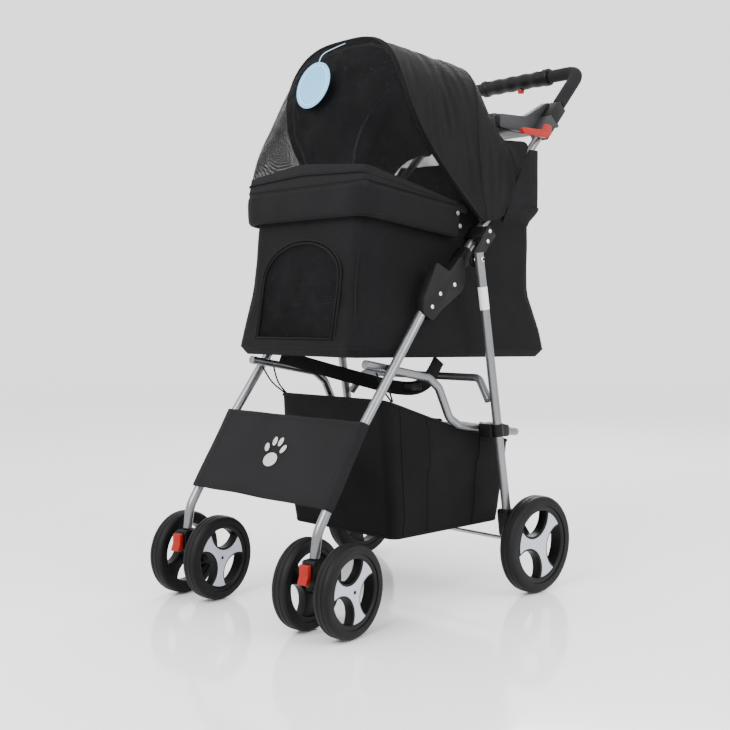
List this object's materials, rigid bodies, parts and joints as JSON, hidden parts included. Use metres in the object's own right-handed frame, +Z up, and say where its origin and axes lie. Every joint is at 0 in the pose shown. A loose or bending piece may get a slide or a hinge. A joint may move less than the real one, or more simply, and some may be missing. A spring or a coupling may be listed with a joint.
{
  "type": "folding pet stroller",
  "caption": "Folding pet stroller with tubular frame, twin swivel casters, fixed rear wheels, zipped mesh hood, cabin, basket, cup tray and foam handle.",
  "frame": {"origin": "on the floor under the middle of the overall box", "axes": "front faces -Y, the handle is at +Y, left is +X, +Z up"},
  "size_m": [0.4812, 0.7756, 0.9913],
  "materials": {
    "silver_tube": "satin silver powder coat on steel tube",
    "dark_steel": "dark grey painted steel",
    "steel_axle": "zinc plated steel rod",
    "black_plastic": "fine texture",
    "red_plastic": "semi-gloss",
    "tyre": "matt solid foam rubber",
    "foam": "closed-cell foam",
    "oxford_cloth": "black coated oxford weave",
    "mesh_cloth": "black open mesh",
    "card": "pale blue coated card"
  },
  "bodies": {
    "rear_frame": {"rear_leg_left": "silver_tube", "rear_leg_right": "silver_tube", "rear_wheel_carrier_left": "black_plastic", "rear_wheel_carrier_right": "black_plastic", "rear_cross_brace": "dark_steel", "rear_axle": "steel_axle"},
    "handle_frame": {"handle_tube_left": "silver_tube", "handle_tube_right": "silver_tube", "upper_bracket_left": "black_plastic", "upper_bracket_right": "black_plastic", "parent_tray": "black_plastic", "cabin": "oxford_cloth", "cabin_mat": "oxford_cloth", "front_band": "oxford_cloth", "safety_strap": "oxford_cloth", "canopy": "oxford_cloth", "rear_hood_panel": "oxford_cloth", "front_window": "mesh_cloth"},
    "front_frame": {"front_leg_left": "silver_tube", "front_leg_right": "silver_tube", "lower_bracket_left": "black_plastic", "lower_bracket_right": "black_plastic", "footrest_panel": "oxford_cloth", "footrest_rod": "silver_tube"},
    "rail_frame": {"side_rails": "silver_tube", "basket": "oxford_cloth"},
    "grip_arm": {"grip_frame": "silver_tube", "grip_knuckle_left": "black_plastic", "grip_knuckle_right": "black_plastic", "foam_sleeve_left": "foam", "foam_sleeve_right": "foam", "grip_housing": "black_plastic"},
    "grip_button": {"grip_button": "red_plastic"},
    "front_hoop": {"canopy_front_hoop": "dark_steel", "hang_tag": "card"},
    "middle_hoop": {"canopy_middle_hoop": "dark_steel"},
    "door": {"front_door": "oxford_cloth"},
    "caster_left": {"caster_fork_left": "black_plastic"},
    "caster_lock_left": {"caster_lock_left": "red_plastic"},
    "front_wheel_left_outer": {"front_tyre_left_outer": "tyre", "front_rim_left_outer": "black_plastic"},
    "front_wheel_left_inner": {"front_tyre_left_inner": "tyre", "front_rim_left_inner": "black_plastic"},
    "rear_wheel_left": {"rear_tyre_left": "tyre", "rear_rim_left": "black_plastic"},
    "brake_pedal_left": {"brake_pedal_left": "red_plastic"},
    "latch_sleeve_left": {"latch_sleeve_left": "black_plastic"},
    "tray_latch_left": {"tray_latch_left": "red_plastic"},
    "caster_right": {"caster_fork_right": "black_plastic"},
    "caster_lock_right": {"caster_lock_right": "red_plastic"},
    "front_wheel_right_outer": {"front_tyre_right_outer": "tyre", "front_rim_right_outer": "black_plastic"},
    "front_wheel_right_inner": {"front_tyre_right_inner": "tyre", "front_rim_right_inner": "black_plastic"},
    "rear_wheel_right": {"rear_tyre_right": "tyre", "rear_rim_right": "black_plastic"},
    "brake_pedal_right": {"brake_pedal_right": "red_plastic"},
    "latch_sleeve_right": {"latch_sleeve_right": "black_plastic"},
    "tray_latch_right": {"tray_latch_right": "red_plastic"}
  },
  "joints": [
    {"name": "handle_fold", "type": "hinge", "parent": "rear_frame", "child": "handle_frame", "pos_m": [0, 0.019, 0.592], "axis": [1, 0, 0], "range_deg": [0, 150], "deforming": ["cabin", "cabin_mat", "front_band", "safety_strap", "canopy", "rear_hood_panel", "front_window", "basket", "front_door", "hang_tag", "canopy_front_hoop", "canopy_middle_hoop"]},
    {"name": "front_leg_fold", "type": "hinge", "parent": "handle_frame", "child": "front_frame", "pos_m": [0, -0.022, 0.551], "axis": [1, 0, 0], "range_deg": [-138, 0]},
    {"name": "side_rail_fold", "type": "hinge", "parent": "front_frame", "child": "rail_frame", "pos_m": [0, -0.169, 0.4085], "axis": [1, 0, 0], "range_deg": [-44, 0]},
    {"name": "grip_fold", "type": "hinge", "parent": "handle_frame", "child": "grip_arm", "pos_m": [0, 0.27897, 0.8556], "axis": [1, 0, 0], "range_deg": [-150, 0]},
    {"name": "grip_button_press", "type": "slide", "parent": "grip_arm", "child": "grip_button", "axis": [0, 0, 1], "range_m": [0, 0.003], "stiffness_N_per_m": 600, "springref_m": -0.001},
    {"name": "canopy_front_fold", "type": "hinge", "parent": "handle_frame", "child": "front_hoop", "pos_m": [0, 0.06, 0.655], "axis": [1, 0, 0], "range_deg": [-62, 0], "deforming": ["canopy", "front_window", "hang_tag"]},
    {"name": "canopy_middle_fold", "type": "hinge", "parent": "handle_frame", "child": "middle_hoop", "pos_m": [0, 0.06, 0.655], "axis": [1, 0, 0], "range_deg": [-34, 0], "deforming": ["canopy"]},
    {"name": "front_door_swing", "type": "hinge", "parent": "handle_frame", "child": "door", "pos_m": [0, -0.2392, 0.4545], "axis": [1, 0, 0], "range_deg": [0, 110]},
    {"name": "caster_swivel_left", "type": "hinge", "parent": "front_frame", "child": "caster_left", "pos_m": [0.168, -0.34, 0.12], "axis": [0, 0, 1], "continuous": true},
    {"name": "caster_lock_tip_left", "type": "hinge", "parent": "caster_left", "child": "caster_lock_left", "pos_m": [0.17152, -0.36222, 0.114], "axis": [0.9877, 0.1564, 0], "range_deg": [-35, 0]},
    {"name": "front_wheel_spin_left_outer", "type": "hinge", "parent": "caster_left", "child": "front_wheel_left_outer", "pos_m": [0.20391, -0.30141, 0.073], "axis": [0.9877, 0.1564, 0], "continuous": true},
    {"name": "front_wheel_spin_left_inner", "type": "hinge", "parent": "caster_left", "child": "front_wheel_left_inner", "pos_m": [0.12193, -0.31439, 0.073], "axis": [0.9877, 0.1564, 0], "continuous": true},
    {"name": "rear_wheel_spin_left", "type": "hinge", "parent": "rear_frame", "child": "rear_wheel_left", "pos_m": [0.2256, 0.137, 0.0867], "axis": [1, 0, 0], "continuous": true},
    {"name": "brake_press_left", "type": "hinge", "parent": "rear_frame", "child": "brake_pedal_left", "pos_m": [0.173, 0.128, 0.118], "axis": [1, 0, 0], "range_deg": [-25, 0]},
    {"name": "latch_slide_left", "type": "slide", "parent": "handle_frame", "child": "latch_sleeve_left", "axis": [0, 0.6801, 0.7331], "range_m": [0, 0.018]},
    {"name": "tray_latch_lift_left", "type": "hinge", "parent": "handle_frame", "child": "tray_latch_left", "pos_m": [0.167, 0.24, 0.843], "axis": [1, 0, 0], "range_deg": [0, 25]},
    {"name": "caster_swivel_right", "type": "hinge", "parent": "front_frame", "child": "caster_right", "pos_m": [-0.168, -0.34, 0.12], "axis": [0, 0, 1], "continuous": true},
    {"name": "caster_lock_tip_right", "type": "hinge", "parent": "caster_right", "child": "caster_lock_right", "pos_m": [-0.16448, -0.36222, 0.114], "axis": [0.9877, 0.1564, 0], "range_deg": [-35, 0]},
    {"name": "front_wheel_spin_right_outer", "type": "hinge", "parent": "caster_right", "child": "front_wheel_right_outer", "pos_m": [-0.21407, -0.31439, 0.073], "axis": [0.9877, 0.1564, 0], "continuous": true},
    {"name": "front_wheel_spin_right_inner", "type": "hinge", "parent": "caster_right", "child": "front_wheel_right_inner", "pos_m": [-0.13209, -0.30141, 0.073], "axis": [0.9877, 0.1564, 0], "continuous": true},
    {"name": "rear_wheel_spin_right", "type": "hinge", "parent": "rear_frame", "child": "rear_wheel_right", "pos_m": [-0.2256, 0.137, 0.0867], "axis": [1, 0, 0], "continuous": true},
    {"name": "brake_press_right", "type": "hinge", "parent": "rear_frame", "child": "brake_pedal_right", "pos_m": [-0.173, 0.128, 0.118], "axis": [1, 0, 0], "range_deg": [-25, 0]},
    {"name": "latch_slide_right", "type": "slide", "parent": "handle_frame", "child": "latch_sleeve_right", "axis": [0, 0.6801, 0.7331], "range_m": [0, 0.018]},
    {"name": "tray_latch_lift_right", "type": "hinge", "parent": "handle_frame", "child": "tray_latch_right", "pos_m": [-0.167, 0.24, 0.843], "axis": [1, 0, 0], "range_deg": [0, 25]}
  ],
  "couplings": [
    {"joint": "front_leg_fold", "follows": "handle_fold", "ratio": -0.913},
    {"joint": "side_rail_fold", "follows": "handle_fold", "ratio": -0.287},
    {"joint": "canopy_middle_fold", "follows": "canopy_front_fold", "ratio": 0.54}
  ]
}
